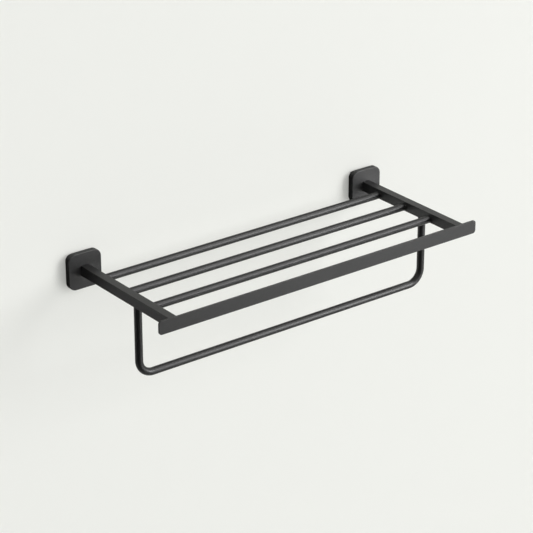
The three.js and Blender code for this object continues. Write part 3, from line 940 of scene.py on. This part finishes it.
def wallSheet():
    holes = [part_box(side + "_wall_base") for side in sides]
    inset, level = stage["holeInset"], stage["wallGap"]
    columns = [-stage["wallHalfWidth"]]
    for low, high in holes:
        columns += [low.x + inset, high.x - inset]
    columns.append(stage["wallHalfWidth"])
    rows = [stage["floorLevel"], holes[0][0].z + inset, holes[0][1].z - inset, stage["wallTop"]]
    vertices = [(x, level, z) for z in rows for x in columns]
    faces = []
    for row in range(len(rows) - 1):
        for column in range(len(columns) - 1):
            if row == 1 and column in (1, 3):
                continue
            first = row * len(columns) + column
            faces.append([first, first + 1, first + 1 + len(columns), first + len(columns)])
    return newPiece("stageWall", meshFrom("stageWall", vertices, faces))


wall = wallSheet()
wall.data.materials.append(makeStageFinish(
    "wallPlaster", stage["wallPaint"], stage["wallColour"], stage["wallOwn"], stage["wallPaintedShadeReach"],
    stage["wallPaintedShadeFrom"], stage["wallPaintedShadeSpan"], stage["wallPaintedShadeLeast"]))
reach = stage["floorReach"]
floor = newPiece("stageFloor", meshFrom("stageFloor", [
    (x * reach, y * reach, stage["floorLevel"]) for x, y in ((-1, -1), (1, -1), (1, 1), (-1, 1))],
    [[0, 1, 2, 3]]))
floor.data.materials.append(makeStageFinish(
    "paleFloor", stage["floorColour"], stage["floorColour"], stage["floorOwn"],
    stage["floorPaintedShadeReach"], stage["floorPaintedShadeFrom"]))


def makeCloth(name, colour):
    material, tree, output = newMaterial(name)
    cloth = addNode(tree, "ShaderNodeBsdfDiffuse")
    cloth.inputs["Color"].default_value = (colour, colour, colour, 1)
    tree.links.new(cloth.outputs[0], output.inputs["Surface"])
    return material


# A dark screen at the front left that only gloss sees: painted shade in the reflections of the
# left-hand faces
screen = {
    "from": 95, "to": 188,    # degrees from +X round the front
    "radius": 1.7, "low": -1.74, "high": 0.45, "panels": 12, "colour": 0.03,
}
screenFoot = []
for step in range(screen["panels"] + 1):
    angle = math.radians(
        screen["from"] + (screen["to"] - screen["from"]) * step / screen["panels"])
    screenFoot.append((screen["radius"] * math.cos(angle), -screen["radius"] * math.sin(angle)))
row = len(screenFoot)
paintedShadeScreenSheet = newPiece("stagePaintedShadeScreen", meshFrom(
    "stagePaintedShadeScreen",
    [(x, y, z) for z in (screen["low"], screen["high"]) for x, y in screenFoot],
    [[i, i + 1, i + 1 + row, i + row] for i in range(screen["panels"])]))
paintedShadeScreenSheet.data.materials.append(makeCloth("screenPaintedShadeCloth", screen["colour"]))

# Flags that lie on the wall at the left of the flanges and that only gloss sees, as painted shade
# in the
# reflections: dark ones for the flanges' left-hand sides, and a pale one, dimmer than the wall, for
# the left arm's
paintedShadeFlags = {
    "near": {
        "flange": "left", "from": 0, "width": 0.03, "below": 0.03, "above": 0.006, "colour": 0.03},
    "far": {
        "flange": "left", "from": 0.03, "width": 0.6, "below": 0.65, "above": 0.006,
        "colour": 0.68},
    "inner": {
        "flange": "right", "from": 0, "width": 0.05, "below": 0.012, "above": 0.006,
        "colour": 0.03},
}
paintedShadeFlagSheets = []
for name, given in paintedShadeFlags.items():
    low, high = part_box(given["flange"] + "_flange")
    columns = (low.x - given["from"] - given["width"], low.x - given["from"])
    rows = (low.z - given["below"], high.z + given["above"])
    paintedShadeFlagSheet = newPiece("stagePaintedShadeFlag_" + name, meshFrom(
        "stagePaintedShadeFlag", [(x, stage["wallGap"] / 2, z) for z in rows for x in columns], [[0, 1, 3, 2]]))
    paintedShadeFlagSheet.data.materials.append(makeCloth("flagPaintedShadeCloth_" + name, given["colour"]))
    paintedShadeFlagSheets.append(paintedShadeFlagSheet)
# Only gloss sees the screen and the flag sheets, which paint shade into the reflections, so the
# wall stays evenly lit
for sheet in (paintedShadeScreenSheet, *paintedShadeFlagSheets):
    for sight in ("visible_camera", "visible_diffuse", "visible_shadow"):
        setattr(sheet, sight, False)

light = {
    "ambient": 0.32,          # the world's light on everything
    "background": 0.93,       # the world as the camera, gloss and glass see it
    "tint": (1, 1, 1),
}
world = bpy.data.worlds.new("softRoom")
scene.world = world
world.use_nodes = True
tree = world.node_tree
tree.nodes.clear()
link = tree.links.new
mix = addNode(tree, "ShaderNodeMixShader")
output = addNode(tree, "ShaderNodeOutputWorld")
link(seenRay(tree), mix.inputs[0])
for socket, strength in ((1, light["ambient"]), (2, light["background"])):
    glow = addNode(tree, "ShaderNodeBackground", None, Strength=strength)
    glow.inputs["Color"].default_value = (*light["tint"], 1)
    link(glow.outputs[0], mix.inputs[socket])
link(mix.outputs[0], output.inputs["Surface"])

# Those marked glossOnly show only in gloss, and throw no light or shadow on the wall
lamps = {
    "keyLamp": {"place": (2.9, -3.56, 1.64), "size": (1.8, 2.16), "watts": 181},
    "highLamp": {
        "place": (2.51, -1.76, 3.78), "size": (2.64, 1.92), "watts": 92, "glossOnly": True},
    "lowLamp": {
        "place": (2.62, -3.71, -1.11), "size": (1.6, 1.2), "watts": 44, "glossOnly": True},
    "frontLamp": {
        "place": (3.2, -3.27, 0.25), "size": (1.2, 0.8), "watts": 105, "glossOnly": True},
    "leftLamp": {"place": (-3.77, -1.85, 2.4), "size": (2.64, 2.64), "watts": 17},
}
for name, given in lamps.items():
    lampData = bpy.data.lights.new(name, "AREA")
    lampData.shape = "RECTANGLE"
    lampData.size, lampData.size_y = given["size"]
    lampData.energy = given["watts"]
    lamp = bpy.data.objects.new(name, lampData)
    lamp.location = given["place"]
    lamp.rotation_euler = (-Vector(given["place"])).to_track_quat("-Z", "Y").to_euler()
    lamp.visible_camera = False
    lamp.visible_diffuse = not given.get("glossOnly", False)
    scene.collection.objects.link(lamp)
print("stage and lamps set")
